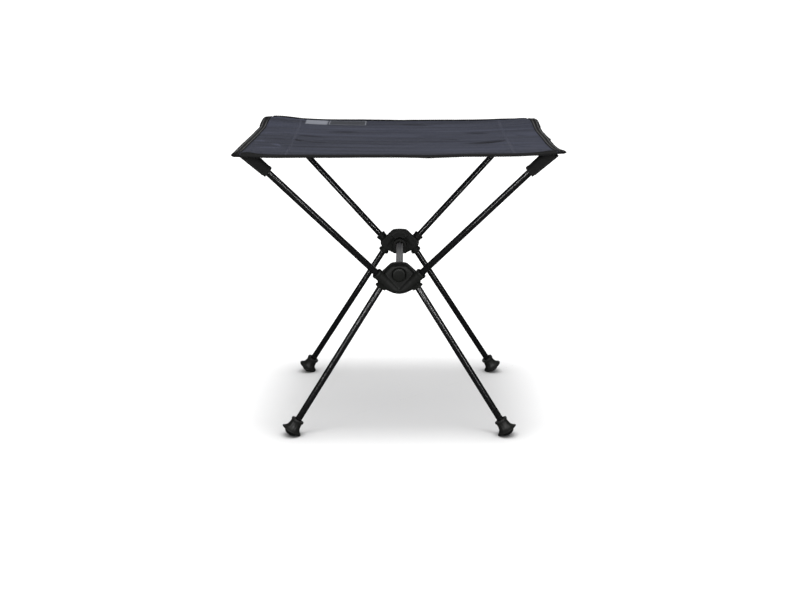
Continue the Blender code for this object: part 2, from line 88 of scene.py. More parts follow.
# --------------------------------------------------------------- node trees
class Tree:
    """A material's node tree, with short ways to add and join nodes."""

    def __init__(self, name, colour, roughness, metallic=0.0, specular=0.5):
        self.mat = bpy.data.materials.new(name)
        self.mat.use_nodes = True
        self.tree = self.mat.node_tree
        self.shader = self.tree.nodes["Principled BSDF"]
        self.shader.inputs["Base Color"].default_value = (*colour, 1.0)
        self.shader.inputs["Roughness"].default_value = roughness
        self.shader.inputs["Metallic"].default_value = metallic
        self.shader.inputs["Specular IOR Level"].default_value = specular
        self.place = self.add("ShaderNodeTexCoord").outputs["Object"]

    def add(self, kind, **values):
        node = self.tree.nodes.new(kind)
        for key, value in values.items():
            setattr(node, key, value)
        return node

    def join(self, source, target):
        self.tree.links.new(source, target)

    def math(self, operation, a, b=None, clamp=False):
        node = self.add("ShaderNodeMath", operation=operation, use_clamp=clamp)
        for k, value in enumerate((a, b)):
            if value is None:
                continue
            if isinstance(value, (int, float)):
                node.inputs[k].default_value = value
            else:
                self.join(value, node.inputs[k])
        return node.outputs[0]

    def stretched(self, scale):
        node = self.add("ShaderNodeMapping")
        node.inputs["Scale"].default_value = scale
        self.join(self.place, node.inputs["Vector"])
        return node.outputs["Vector"]

    def noise(self, scale, detail=3.0, rough=0.55, place=None):
        node = self.add("ShaderNodeTexNoise")
        node.inputs["Scale"].default_value = scale
        node.inputs["Detail"].default_value = detail
        node.inputs["Roughness"].default_value = rough
        self.join(place or self.place, node.inputs["Vector"])
        return node.outputs["Fac"]

    def spread(self, value, low, high, out_low, out_high):
        node = self.add("ShaderNodeMapRange")
        self.join(value, node.inputs["Value"])
        for key, number in (("From Min", low), ("From Max", high), ("To Min", out_low), ("To Max", out_high)):
            node.inputs[key].default_value = number
        return node.outputs["Result"]

    def mix(self, factor, a, b):
        node = self.add("ShaderNodeMix", data_type="RGBA")
        for socket, value in ((node.inputs["Factor"], factor), (node.inputs["A"], a), (node.inputs["B"], b)):
            if isinstance(value, tuple):
                value = (*value, 1.0) if len(value) == 3 else value
                socket.default_value = value
            elif isinstance(value, (int, float)):
                socket.default_value = value
            else:
                self.join(value, socket)
        return node.outputs["Result"]

    def colour(self, value):
        self.join(value, self.shader.inputs["Base Color"])

    def rough(self, value):
        self.join(value, self.shader.inputs["Roughness"])

    def bump(self, height, distance, strength=1.0):
        node = self.add("ShaderNodeBump")
        node.inputs["Distance"].default_value = distance
        node.inputs["Strength"].default_value = strength
        self.join(height, node.inputs["Height"])
        last = self.shader.inputs["Normal"]
        if last.is_linked:
            self.join(last.links[0].from_socket, node.inputs["Normal"])
        self.join(node.outputs["Normal"], last)


def shade(colour, k):
    return tuple(c * k for c in colour)


def moulded(name, colour, low=0.42, high=0.58, worn=1.9, specular=0.14):
    """Moulded plastic: fine grain, faint flow marks, edges rubbed lighter."""
    t = Tree(name, colour, 0.5, 0.0, specular)
    flow = t.noise(38.0, 3.0)
    base = t.mix(t.spread(flow, 0.35, 0.65, 0.0, 1.0), shade(colour, 0.86), shade(colour, 1.16))
    edge = t.add("ShaderNodeNewGeometry").outputs["Pointiness"]
    rub = t.math("MULTIPLY", t.spread(edge, 0.52, 0.60, 0.0, 1.0), t.spread(t.noise(160.0, 4.0), 0.35, 0.7, 0.2, 1.0), clamp=True)
    t.colour(t.mix(t.math("MULTIPLY", rub, 0.55), base, shade(colour, worn)))
    t.rough(t.spread(t.noise(70.0, 4.0), 0.3, 0.7, low, high))
    t.bump(t.noise(1500.0, 2.0, 0.6), 0.00006, 0.35)
    t.bump(t.noise(120.0, 2.0), 0.0002, 0.12)
    return t.mat


def anodised(name, colour, low, high, metallic, specular=0.5):
    """Drawn and anodised tube: faint streaks along it, small scuffs."""
    t = Tree(name, colour, 0.3, metallic, specular)
    streak = t.noise(1.0, 4.0, 0.6, t.stretched((900.0, 900.0, 9.0)))
    t.colour(t.mix(t.spread(streak, 0.3, 0.7, 0.0, 1.0), shade(colour, 0.82), shade(colour, 1.22)))
    scuff = t.spread(t.noise(1.0, 5.0, 0.7, t.stretched((260.0, 260.0, 60.0))), 0.62, 0.78, 0.0, 0.012)
    t.rough(t.math("ADD", t.spread(streak, 0.3, 0.7, low, high), scuff))
    t.bump(streak, 0.00002, 0.08)
    return t.mat


def woven(name, colour, pitch, sheen=0.25, painted_wrinkle_shading=True, rough=0.82, across=None, contrast=0.16, bands=None, paints_shade_and_light=False):
    """Plain weave, or a ribbed tape when the direction of its ribs is given.
    Bands are lighter lines along the tape. The cloth's wrinkles get painted shade and light in its colour,
    and the fold attribute paints shade into creases and at the side tapes' ends, and light where it is negative."""
    t = Tree(name, colour, rough, 0.0, 0.12)
    t.shader.inputs["Sheen Weight"].default_value = sheen
    t.shader.inputs["Sheen Roughness"].default_value = 0.45
    t.shader.inputs["Sheen Tint"].default_value = (0.75, 0.80, 1.0, 1.0)
    axes = t.add("ShaderNodeSeparateXYZ")
    t.join(t.place, axes.inputs[0])
    turn = math.pi / pitch
    wobble = t.math("MULTIPLY", t.noise(420.0, 2.0), 0.9)
    if across is None:
        a = t.math("SINE", t.math("ADD", t.math("MULTIPLY", axes.outputs["X"], turn), wobble))
        b = t.math("SINE", t.math("ADD", t.math("MULTIPLY", axes.outputs["Y"], turn), wobble))
        height = t.math("MULTIPLY", a, b)
    else:
        a = t.math("SINE", t.math("ADD", t.math("MULTIPLY", axes.outputs[across], turn), wobble))
        other = {"X": "Y", "Y": "X", "Z": "X"}[across]
        b = t.math("SINE", t.math("MULTIPLY", axes.outputs[other], turn * 1.7))
        height = t.math("ADD", t.math("MULTIPLY", a, 0.8), t.math("MULTIPLY", b, 0.25))
    fine = t.spread(height, -1.0, 1.0, 0.0, 1.0)
    patch = t.spread(t.noise(26.0, 4.0), 0.3, 0.7, 0.0, 1.0)
    base = t.mix(fine, shade(colour, 1.0 - contrast), shade(colour, 1.0 + contrast))
    base = t.mix(t.math("MULTIPLY", patch, 0.5), base, shade(colour, 0.88))
    # Painted wrinkle shading: darker and lighter lines stretched across the cloth stand in for the shade and light on
    # its wrinkles, and broad darker patches are painted shade.
    if painted_wrinkle_shading:
        line = t.spread(t.noise(1.0, 2.5, 0.6, t.stretched((2.6, 27.0, 2.6))), 0.36, 0.66, 0.0, 1.0)
        base = t.mix(0.8, base, t.mix(line, shade(colour, 0.52), shade(colour, 1.55)))
        painted_broad_shade = t.spread(t.noise(1.0, 2.0, 0.5, t.stretched((7.0, 13.0, 7.0))), 0.3, 0.7, 0.0, 0.6)
        base = t.mix(painted_broad_shade, base, shade(colour, 0.80))
    if bands:
        inset = t.math("SUBTRACT", TOP_HALF - 2.9 * MM, t.math("ABSOLUTE", axes.outputs[bands]))
        wave = t.math("SINE", t.math("MULTIPLY", inset, 2 * math.pi / (5.4 * MM)))
        wave = t.math("ADD", wave, t.spread(t.noise(120.0, 3.0), 0.3, 0.7, -0.3, 0.2))
        base = t.mix(t.spread(wave, 0.35, 0.95, 0.0, 1.0), base, shade(colour, 13.0))
    # Painted shade and light: the fold attribute darkens the colour in creases and towards the side tapes' ends, and
    # lightens it where negative, on the lit sides of creases and along the seams.
    if paints_shade_and_light:
        fold = t.add("ShaderNodeAttribute", attribute_name="fold").outputs["Fac"]
        base = t.mix(t.spread(fold, 0.0, 1.5, 0.0, 0.93), base, shade(colour, 0.10))
        base = t.mix(t.spread(fold, 0.0, -1.0, 0.0, 0.8), base, shade(colour, 2.5))
    t.colour(base)
    t.rough(t.spread(patch, 0.0, 1.0, rough - 0.06, rough + 0.06))
    t.bump(height, pitch * 0.16, 0.5)
    t.bump(t.noise(800.0, 2.0), 0.00008, 0.3)
    return t.mat


def thread(name, colour):
    """Twisted sewing thread."""
    t = Tree(name, colour, 0.6, 0.0, 0.35)
    t.shader.inputs["Sheen Weight"].default_value = 0.02
    twist = t.noise(2600.0, 2.0)
    t.colour(t.mix(t.spread(twist, 0.3, 0.7, 0.0, 1.0), shade(colour, 0.75), shade(colour, 1.3)))
    t.bump(twist, 0.00005, 0.5)
    return t.mat


def braided(name, colour):
    """Braided cover of an elastic cord."""
    t = Tree(name, colour, 0.75, 0.0, 0.3)
    t.shader.inputs["Sheen Weight"].default_value = 0.03
    cells = t.add("ShaderNodeTexVoronoi")
    cells.inputs["Scale"].default_value = 1150.0
    t.join(t.place, cells.inputs["Vector"])
    t.colour(t.mix(t.spread(cells.outputs["Distance"], 0.0, 0.6, 0.0, 1.0), shade(colour, 1.6), shade(colour, 0.6)))
    t.bump(cells.outputs["Distance"], 0.00012, 0.6)
    return t.mat


BLACK_TUBE = (0.0062, 0.0062, 0.0066)
MATS = {
    "pole": anodised("black_anodised", BLACK_TUBE, 0.21, 0.225, 0.0, 0.5),
    "spreader": anodised("grey_anodised", (0.25, 0.25, 0.25), 0.34, 0.46, 0.45, 0.5),
    "hub": moulded("hub_nylon", (0.0096, 0.0104, 0.0092), 0.46, 0.60),
    "cap": moulded("cap_nylon", (0.0080, 0.0088, 0.0076), 0.36, 0.50),
    "tip": moulded("tip_nylon", (0.008, 0.008, 0.008)),
    "plug": moulded("plug_nylon", (0.016, 0.016, 0.016)),
    "foot": moulded("foot_rubber", (0.0098, 0.0104, 0.0092), 0.36, 0.52, 2.4, 0.26),
    "fabric": woven("top_weave", (0.0248, 0.0272, 0.0425), 0.85 * MM, 0.032, paints_shade_and_light=True),
    "bind_y": woven("tape_side", (0.0058, 0.0058, 0.0059), 1.15 * MM, 0.008, False, 0.8, "Y", 0.2, bands="X", paints_shade_and_light=True),
    "bind_x": woven("tape_end", (0.0070, 0.0070, 0.0073), 1.15 * MM, 0.004, False, 0.8, "X", 0.2),
    "pocket": woven("pocket_web", (0.0070, 0.0070, 0.0070), 1.3 * MM, 0.004, False, 0.78, "Z", 0.25),
    "tape": woven("seam_web", (0.0120, 0.0120, 0.0122), 1.1 * MM, 0.01, False, 0.8, "Y", 0.25),
    "thread": thread("black_thread", (0.026, 0.026, 0.028)),
    "thread_blue": thread("blue_thread", (0.040, 0.043, 0.060)),
    "label": woven("label_weave", (0.152, 0.159, 0.184), 0.5 * MM, 0.01, False, 0.7, None, 0.06),
    "label_dark": woven("label_ground", (0.0330, 0.0352, 0.0430), 0.5 * MM, 0.01, False, 0.75, None, 0.08),
    "cord": braided("cord_cover", (0.025, 0.025, 0.027)),
}


# ----------------------------------------------------------------- meshing
def piece(name, verts, faces, mat, body, node=None, slot=None, angle=38.0, parent_matrix=None, keep=False):
    """A visible piece with its material, riding on a body and standing for
    its CAD node."""
    mesh = bpy.data.meshes.new(name)
    mesh.from_pydata([tuple(v) for v in verts], [], [tuple(f) for f in faces])
    bm = bmesh.new()
    bm.from_mesh(mesh)
    bmesh.ops.recalc_face_normals(bm, faces=bm.faces)
    bm.to_mesh(mesh)
    bm.free()
    obj = bpy.data.objects.new(name, mesh)
    bpy.context.scene.collection.objects.link(obj)
    if parent_matrix is not None:
        obj.matrix_world = parent_matrix
    return dress(obj, mat, body, node, angle, keep)


def dress(obj, mat, body, node=None, angle=38.0, keep=False):
    for face in obj.data.polygons:
        face.use_smooth = True
    obj.data.set_sharp_from_angle(angle=math.radians(angle))
    obj.data.materials.clear()
    obj.data.materials.append(MATS[mat])
    if body and not keep:
        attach(obj, body)
    if node:
        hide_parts(*([node] if isinstance(node, str) else node))
    return obj


def placed(at, way):
    return Matrix.Translation(at) @ Vector(way).to_track_quat("Z", "Y").to_matrix().to_4x4()


def turned(profile, sides=64, shape=None):
    """Points and faces of a profile of (radius, distance) turned round Z."""
    verts, rows, faces = [], [], []
    for radius, along in profile:
        if radius == 0:
            rows.append([len(verts)] * sides)
            verts.append((0.0, 0.0, along))
            continue
        row = []
        for k in range(sides):
            angle = 2 * math.pi * (k + 0.5) / sides
            r = radius * (shape(angle, along) if shape else 1.0)
            row.append(len(verts))
            verts.append((r * math.cos(angle), r * math.sin(angle), along))
        rows.append(row)
    pairs = list(zip(rows, rows[1:]))
    if profile[0][0] != 0:
        pairs.append((rows[-1], rows[0]))
    for low, high in pairs:
        for k in range(sides):
            j = (k + 1) % sides
            corner = [low[k], low[j], high[j], high[k]]
            face = [v for n, v in enumerate(corner) if v not in corner[:n]]
            if len(face) > 2:
                faces.append(face)
    return verts, faces


def smooth_profile(points, steps=5):
    """A rounder profile through the given points (Catmull-Rom)."""
    out = []
    last = len(points) - 1
    for k in range(last):
        p = [np.array(points[max(0, min(last, k + d))]) for d in (-1, 0, 1, 2)]
        for s in range(steps):
            t = s / steps
            out.append(tuple(0.5 * (2 * p[1] + (p[2] - p[0]) * t + (2 * p[0] - 5 * p[1] + 4 * p[2] - p[3]) * t**2
                                    + (3 * p[1] - p[0] - 3 * p[2] + p[3]) * t**3)))
    out.append(tuple(points[-1]))
    return [(max(float(a), 0.0), float(b)) for a, b in out]


def tube_profile(start, end, radius=TUBE_R):
    inner, edge = radius - TUBE_WALL, 0.3 * MM
    return [
        (inner, start), (radius - edge, start), (radius - 0.09 * MM, start + 0.09 * MM), (radius, start + edge),
        (radius, end - edge), (radius - 0.09 * MM, end - 0.09 * MM), (radius - edge, end), (inner, end),
    ]


def rounded_copy(node, voxel, rounds, mat, body):
    """A moulded piece with its edges softened: the CAD shape remeshed finely
    and relaxed a little."""
    mesh = NODES[node].data.copy()
    bm = bmesh.new()
    bm.from_mesh(mesh)
    bmesh.ops.remove_doubles(bm, verts=bm.verts, dist=0.00001)
    bm.to_mesh(mesh)
    bm.free()
    temp = bpy.data.objects.new("temp", mesh)
    bpy.context.scene.collection.objects.link(temp)
    remesh = temp.modifiers.new("fine", "REMESH")
    remesh.mode = "VOXEL"
    remesh.voxel_size = voxel
    relax = temp.modifiers.new("relax", "SMOOTH")
    relax.factor = 0.5
    relax.iterations = rounds
    bpy.context.view_layer.update()
    result = bpy.data.meshes.new_from_object(temp.evaluated_get(bpy.context.evaluated_depsgraph_get()))
    bpy.data.objects.remove(temp)
    obj = bpy.data.objects.new(node + "_shell", result)
    bpy.context.scene.collection.objects.link(obj)
    return dress(obj, mat, body, node, 80.0)


# --------------------------------------------------------------- hubs, caps
VOXEL = 0.6 * MM
for word in ("front", "back"):
    rounded_copy(word + "_hub", VOXEL, 10, "hub", word + "_frame")
    rounded_copy(word + "_hub_cap", VOXEL * 0.6, 4, "cap", word + "_frame")

# ------------------------------------------------------------------ spreader
at = Vector((0, 0, SPREADER_Z))
way = Vector((0, 1, 0))
piece("spreader", *turned(tube_profile(-SPREADER_END, SPREADER_END, SPREADER_R)), "spreader", "front_frame",
      "spreader_tube", "spreader_tube", parent_matrix=placed(at, way))


def cord_mesh(start, end, steps=60):
    edge = 0.35 * MM
    ends = [(0, start), (CORD_R - edge, start), (CORD_R, start + edge)]
    body = [(CORD_R, start + edge + (end - start - 2 * edge) * k / steps) for k in range(1, steps)]
    return turned(ends + body + [(CORD_R, end - edge), (CORD_R - edge, end), (0, end)], 16)


def cord_between(name, node, start, end, at, way):
    obj = piece(name, *cord_mesh(start, end), "cord", None, node, "cord", parent_matrix=placed(at, way))
    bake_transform(obj)
    return obj


cord_between("spreader_elastic", "spreader_cord", -SPREADER_END - 2.6 * MM, SPREADER_END + 2.6 * MM,
             at, way)

# ------------------------------------------------------------ poles and legs
for tag in SIDES:
    sx = -1 if tag[1] == "l" else 1
    sy = -1 if tag[0] == "f" else 1
    upper_body, leg_body = "upper_" + WORDS[tag], "leg_" + WORDS[tag]
    upper_at = Vector((sx * HUB_X, sy * UPPER_Y, CROSS_Z))
    upper_way = Vector((sx * UPPER_DIR.x, -sy * UPPER_DIR.y, UPPER_DIR.z))
    leg_at = Vector((sx * HUB_X, sy * LEG_Y, CROSS_Z))
    leg_way = Vector((sx * LEG_DIR.x, -sy * LEG_DIR.y, LEG_DIR.z))
    plug_r = TUBE_R - TUBE_WALL - 0.3 * MM

    piece("upper_tube_" + tag, *turned(tube_profile(UPPER_SEAT, UPPER_END)), "pole", upper_body,
          "upper_pole_" + tag, "pole", parent_matrix=placed(upper_at, upper_way))
    nose = smooth_profile([(0, TIP_END), (1.4 * MM, TIP_END - 0.1 * MM), (3.0 * MM, TIP_END - 0.7 * MM),
                           (4.5 * MM, TIP_END - 1.9 * MM), (5.2 * MM, TIP_END - 3.6 * MM), (5.3 * MM, TIP_END - 5.0 * MM)], 3)
    piece("tip_" + tag, *turned(nose + [
        (5.3 * MM, UPPER_END + 0.6 * MM), (5.0 * MM, UPPER_END + 0.3 * MM), (plug_r, UPPER_END + 0.3 * MM),
        (plug_r, UPPER_END - 13.0 * MM), (CORD_R + 0.3 * MM, UPPER_END - 13.0 * MM),
        (CORD_R + 0.3 * MM, UPPER_END - 2.0 * MM), (0, UPPER_END - 2.0 * MM)], 48), "tip", upper_body,
        "pole_tip_" + tag, "pole_tip", parent_matrix=placed(upper_at, upper_way))
    cord_between("upper_elastic_" + tag, "upper_cord_" + tag, -13.2 * MM, UPPER_END - 2.3 * MM,
                 upper_at, upper_way)

    disc = (CROSS_Z - FOOT_DISC_Z) / -leg_way.z
    leg_end = disc - FOOT_SEAT
    piece("leg_tube_" + tag, *turned(tube_profile(LEG_SEAT, leg_end)), "pole", leg_body,
          "leg_" + tag, "pole", parent_matrix=placed(leg_at, leg_way))
    piece("end_plug_" + tag, *turned([
        (0, leg_end - 0.4 * MM), (plug_r - 0.4 * MM, leg_end - 0.4 * MM), (plug_r, leg_end - 0.9 * MM),
        (plug_r, leg_end - 10.4 * MM), (CORD_R + 0.3 * MM, leg_end - 10.4 * MM),
        (CORD_R + 0.3 * MM, leg_end - 3.0 * MM), (0, leg_end - 3.0 * MM)], 32), "plug", leg_body,
        "leg_plug_" + tag, "leg_plug", parent_matrix=placed(leg_at, leg_way))
    cord_between("leg_elastic_" + tag, "leg_cord_" + tag, -19.0 * MM, leg_end - 3.3 * MM,
                 leg_at, leg_way)

    # Foot: a domed pad under a thin flared rim, a ribbed waist and a collar.
    under = smooth_profile([(0, 7.6), (3.6, 7.3), (7.0, 6.0), (9.6, 3.8), (10.7, 1.7)], 4)
    rim = smooth_profile([(11.4, 1.25), (13.6, 0.9), (15.4, 0.65), (15.95, 0.1), (15.6, -0.55), (14.2, -1.6),
                          (12.2, -3.4), (10.3, -6.4), (9.2, -11.0), (9.05, -15.4)], 4)
    collar = [(9.4, -16.0), (9.85, -16.3), (10.0, -16.7), (10.0, -18.5), (9.85, -19.0), (9.4, -19.3),
              (5.9, -19.3), (5.3, -18.8)]
    ring = [(r * MM, disc + s * MM) for r, s in under + rim + collar]
    seat = leg_end + 0.3 * MM

    def ribbed(angle, along, disc=disc):
        s = (along - disc) / MM
        fade = max(0.0, min(1.0, (s + 15.8) / 2.0)) * max(0.0, min(1.0, (-2.2 - s) / 2.5))
        return 1.0 - 0.035 * fade * (0.5 + 0.5 * math.cos(10 * angle)) ** 3

    verts, faces = turned(ring + [(5.3 * MM, seat), (0, seat)], 120, ribbed)
    at_foot = placed(leg_at, leg_way)
    mesh = bpy.data.meshes.new("foot")
    mesh.from_pydata([at_foot @ Vector(v) for v in verts], [], faces)
    bm = bmesh.new()
    bm.from_mesh(mesh)
    bmesh.ops.recalc_face_normals(bm, faces=bm.faces)
    geom = list(bm.verts) + list(bm.edges) + list(bm.faces)
    cut = bmesh.ops.bisect_plane(bm, geom=geom, plane_co=(0, 0, 0.00003), plane_no=(0, 0, -1), clear_outer=True)
    edges = [e for e in bm.edges if e.is_boundary]
    bmesh.ops.holes_fill(bm, edges=edges, sides=0)
    bmesh.ops.recalc_face_normals(bm, faces=bm.faces)
    bm.to_mesh(mesh)
    bm.free()
    foot = bpy.data.objects.new("foot_shell_" + tag, mesh)
    bpy.context.scene.collection.objects.link(foot)
    dress(foot, "foot", leg_body, "foot_" + tag, 42.0)


# ------------------------------------------------------------------ the top
def edge_curve(points):
    """Smooth line through the given heights, every millimetre."""
    z = np.interp(np.arange(-237, 238), [p for p, _ in points], [h for _, h in points])
    kernel = np.exp(-0.5 * (np.arange(-14, 15) / 4.5) ** 2)
    return np.convolve(np.pad(z, 14, mode="edge"), kernel / kernel.sum(), "valid") * MM


GRID = 159


def stretched_cloth():
    """Heights of a cloth pulled tight between its four edges and held up by
    the four pole tips: each point settles at the mean of its neighbours,
    a little lower for the cloth's own weight."""
    fine = np.arange(-237, 238) * MM
    line_of = np.linspace(-TOP_HALF, TOP_HALF, GRID)
    front, back, left, right = (np.interp(line_of, fine, edge_curve(e)) for e in (EDGE_FRONT, EDGE_BACK, EDGE_LEFT, EDGE_RIGHT))
    for first, at_first, second, at_second in ((front, 0, left, 0), (front, -1, right, 0), (back, 0, left, -1), (back, -1, right, -1)):
        mean = 0.5 * (first[at_first] + second[at_second])
        for edge, end in ((first, at_first), (second, at_second)):
            miss = mean - edge[end]
            away = np.abs(line_of - line_of[end])
            edge += miss * np.exp(-away / (10 * MM))
    t = np.linspace(0, 1, GRID)
    u, v = np.meshgrid(t, t)
    z = (1 - v) * front[None, :] + v * back[None, :] + (1 - u) * left[:, None] + u * right[:, None]
    z -= (1 - u) * (1 - v) * front[0] + u * (1 - v) * front[-1] + (1 - u) * v * back[0] + u * v * back[-1]
    z[0], z[-1], z[:, 0], z[:, -1] = front, back, left, right
    gx, gy = np.meshgrid(line_of, line_of)
    held = np.zeros(z.shape, bool)
    held[0] = held[-1] = held[:, 0] = held[:, -1] = True
    for tag, height in PEAKS.items():
        near = np.hypot(gx - CORNER_X * (-1 if tag[1] == "l" else 1), gy - CORNER_Y * (-1 if tag[0] == "f" else 1)) < 6.5 * MM
        z[near] = height
        held |= near
    pull = SAG / 0.0737 / (2 * TOP_HALF) ** 2 * (line_of[1] - line_of[0]) ** 2 * (0.75 + 0.25 * gy / TOP_HALF)
    rows, cols = np.indices(z.shape)
    turns = [((rows + cols) % 2 == k) & ~held for k in (0, 1)]
    for _ in range(650):
        for move in turns:
            mean = np.zeros_like(z)
            mean[1:-1, 1:-1] = 0.25 * (z[2:, 1:-1] + z[:-2, 1:-1] + z[1:-1, 2:] + z[1:-1, :-2])
            z[move] += 1.94 * (mean[move] - 0.25 * pull[move] - z[move])
    for _ in range(4):
        mean = z.copy()
        mean[1:-1, 1:-1] = 0.25 * (z[2:, 1:-1] + z[:-2, 1:-1] + z[1:-1, 2:] + z[1:-1, :-2])
        z = 0.5 * z + 0.5 * mean
    return np.pad(z, 1, mode="reflect", reflect_type="odd")


SURFACE = stretched_cloth()


def lift(x, y):
    """Height of the middle of the cloth, without its wrinkles."""
    u = np.clip((np.asarray(x, float) + TOP_HALF) / (2 * TOP_HALF), 0.0, 1.0) * (GRID - 1) + 1.0
    v = np.clip((np.asarray(y, float) + TOP_HALF) / (2 * TOP_HALF), 0.0, 1.0) * (GRID - 1) + 1.0
    i = np.clip(np.floor(u).astype(int), 1, GRID - 1)
    j = np.clip(np.floor(v).astype(int), 1, GRID - 1)

    def weights(t):
        return (-0.5 * t + t**2 - 0.5 * t**3, 1 - 2.5 * t**2 + 1.5 * t**3, 0.5 * t + 2 * t**2 - 1.5 * t**3, -0.5 * t**2 + 0.5 * t**3)

    across, along = weights(u - i), weights(v - j)
    return sum(along[n] * sum(across[m] * SURFACE[j + n - 1, i + m - 1] for m in range(4)) for n in range(4))


def ripple(v, seed, count=5, low=1.0, high=4.0):
    """Smooth wandering line: a few sine waves with fixed phases."""
    rng = np.random.default_rng(seed)
    total = np.zeros_like(np.asarray(v, float))
    for _ in range(count):
        f, p, a = rng.uniform(low, high), rng.uniform(0, 2 * math.pi), rng.uniform(0.4, 1.0)
        total = total + a * np.sin(np.asarray(v) * f * 2 * math.pi / 0.474 + p)
    return total / count


def wrinkles(x, y):
    """Tension lines in the cloth: fine ones that run from side to side, and
    a few that fan out from each corner."""
    x, y = np.asarray(x, float), np.asarray(y, float)
    inside = np.clip((TOP_HALF - BIND_W - np.maximum(np.abs(x), np.abs(y))) / (12 * MM), 0.0, 1.0)
    drift = 7.0 * MM * ripple(x, 3, 4, 0.5, 2.0)
    strength = np.clip(0.55 + 0.75 * ripple(x + 0.6 * y, 5, 5, 0.6, 3.2), 0.05, 1.2)
    lines = np.zeros_like(x)
    rng = np.random.default_rng(11)
    for wave, amount in ((47, 0.26), (29, 0.22), (19, 0.16), (12.5, 0.08)):
        p = rng.uniform(0, 2 * math.pi)
        lines = lines + amount * MM * np.sin(2 * math.pi * (y + drift) / (wave * MM) + p + 0.9 * ripple(x, int(wave * 10), 3, 0.5, 1.5))
    total = lines * strength
    for sx in (-1, 1):
        for sy in (-1, 1):
            dx, dy = x * sx - CORNER_X, y * sy - CORNER_Y
            away = np.hypot(dx, dy)
            angle = np.arctan2(-dy, -dx)
            fan = np.cos(11.0 * angle + 1.3 * sx - 0.7 * sy) * np.exp(-away / (60 * MM)) * (1 - np.exp(-((away / (18 * MM)) ** 2)))
            total = total + 0.6 * MM * fan * np.clip((np.minimum(-dx, -dy) + 20 * MM) / (30 * MM), 0, 1)
    return total * (0.12 + 0.88 * inside)


# Creases as start, middle, end (x, y), half width, depth and how much painted shade their fold gets (painted light
# where negative), in mm.
CREASES = (
    ((94, -48), (136, -38), (169, -10), 10.0, 1.5, 1.5, 0.5),
    ((104, 88), (127, 84), (147, 79), 7.0, 0.7, 0.9, 0.2),
    ((26, 52), (46, 52), (66, 54), 7.0, 0.45, 0.6, 0.0),
    ((-4, 189), (29, 186), (58, 175), 8.0, 0.5, 0.8, 0.0),
    ((63, 22), (81, 10), (97, 2), 6.5, 0.5, 0.6, 0.2),
    ((-166, -14), (-156, -24), (-145, -35), 6.5, 1.1, 1.4, -0.5),
    ((-164, 46), (-140, 36), (-112, 25), 6.5, 0.7, 0.9, -0.4),
    ((-120, 90), (-93, 96), (-65, 97), 8.0, 0.6, 0.9, 0.0),
    ((-149, -37), (-130, -43), (-108, -46), 6.0, 0.5, 0.7, -0.2),
    ((-60, -52), (-20, -58), (30, -54), 6.5, 0.35, 0.5, 0.0),
    ((186, 50), (197, 42), (208, 42), 7.0, 0.45, 0.5, -0.3),
    ((170, -84), (184, -98), (206, -104), 6.0, 0.4, 0.4, -0.5),
    ((-197, -82), (-187, -89), (-177, -106), 6.0, 0.5, -0.7, 0.3),
    ((-214, -140), (-193, -133), (-170, -135), 6.0, 0.35, -0.5, 0.0),
    ((-222, -54), (-215, -46), (-206, -58), 5.5, 0.3, -0.5, 0.0),
    ((-210, 66), (-192, 58), (-172, 62), 7.0, 0.4, 0.6, 0.4),
    ((-212, -12), (-198, -8), (-176, -20), 6.0, 0.35, 0.5, 0.2),
)


def creases(x, y):
    """Depth of the single deeper creases, and the painted shade of their fold (painted light where negative)."""
    x, y = np.asarray(x, float) / MM, np.asarray(y, float) / MM
    depth, painted_shade_and_light = np.zeros_like(x), np.zeros_like(x)
    for first, middle, last, wide, deep, painted_shade_amount, lean in CREASES:
        t = (x - first[0]) / (last[0] - first[0])
        bend = 4 * (middle[1] - 0.5 * (first[1] + last[1]))
        line_y = first[1] + (last[1] - first[1]) * t + bend * t * (1 - t)
        inner = np.clip(t, 0.0, 1.0)
        taper = np.sin(math.pi * inner) ** 0.6 * (1.0 + lean * (2 * inner - 1)) * ((t > 0) & (t < 1))
        away = (y - line_y) / (wide * (0.45 + 0.55 * np.clip(taper, 0, 1)))
        depth = depth + deep * taper * (0.55 * np.exp(-((away - 1.3) ** 2)) - np.exp(-(away**2)))
        painted_shade_and_light = painted_shade_and_light + painted_shade_amount * taper * np.exp(-((away / 1.15) ** 2))
    return depth * MM, painted_shade_and_light


def seam_line(y, side):
    """Where the seam's stitching runs, across the top."""
    y = np.asarray(y, float) / MM
    if side < 0:
        return -(166.3 + 0.0265 * y) * MM
    return (170.2 + 0.010 * y - 2.4 * np.exp(-(((y + 185) / 70) ** 2))) * MM


def seam_dip(x, y):
    side = np.where(np.asarray(x, float) < 0, -1.0, 1.0)
    centre = np.where(side < 0, seam_line(y, -1), seam_line(y, 1))
    away = np.abs(np.asarray(x, float) - centre)
    return 0.42 * MM * np.exp(-((away / (4.6 * MM)) ** 4)) - 0.22 * MM * np.exp(-(((away - 1.1 * MM) / (0.8 * MM)) ** 2))


def pucker(x, y):
    """Small gathers along the stitching of the edge tape."""
    x, y = np.asarray(x, float), np.asarray(y, float)
    near = np.maximum(np.abs(x), np.abs(y)) - (TOP_HALF - BIND_W)
    amount = np.exp(-((near / (7 * MM)) ** 2))
    run = np.where(np.abs(x) > np.abs(y), y, x)
    return 0.16 * MM * amount * np.sin(2 * math.pi * run / (9.0 * MM) + 2.0 * ripple(run, 21, 4, 3.0, 9.0))


def cloth_z(x, y):
    return lift(x, y) + wrinkles(x, y) + creases(x, y)[0] + seam_dip(x, y) + pucker(x, y)


def painted_shade_and_light(obj, values):
    """Stores the painted shade and light at each point, for the material of the cloth and tapes."""
    layer = obj.data.attributes.new("fold", "FLOAT", "POINT")
    layer.data.foreach_set("value", np.asarray(values, np.float32))


CLOTH_T = 0.7 * MM
STEP = 2.2 * MM


def steps_between(low, high, step):
    count = max(1, int(round((high - low) / step)))
    return np.linspace(low, high, count + 1)


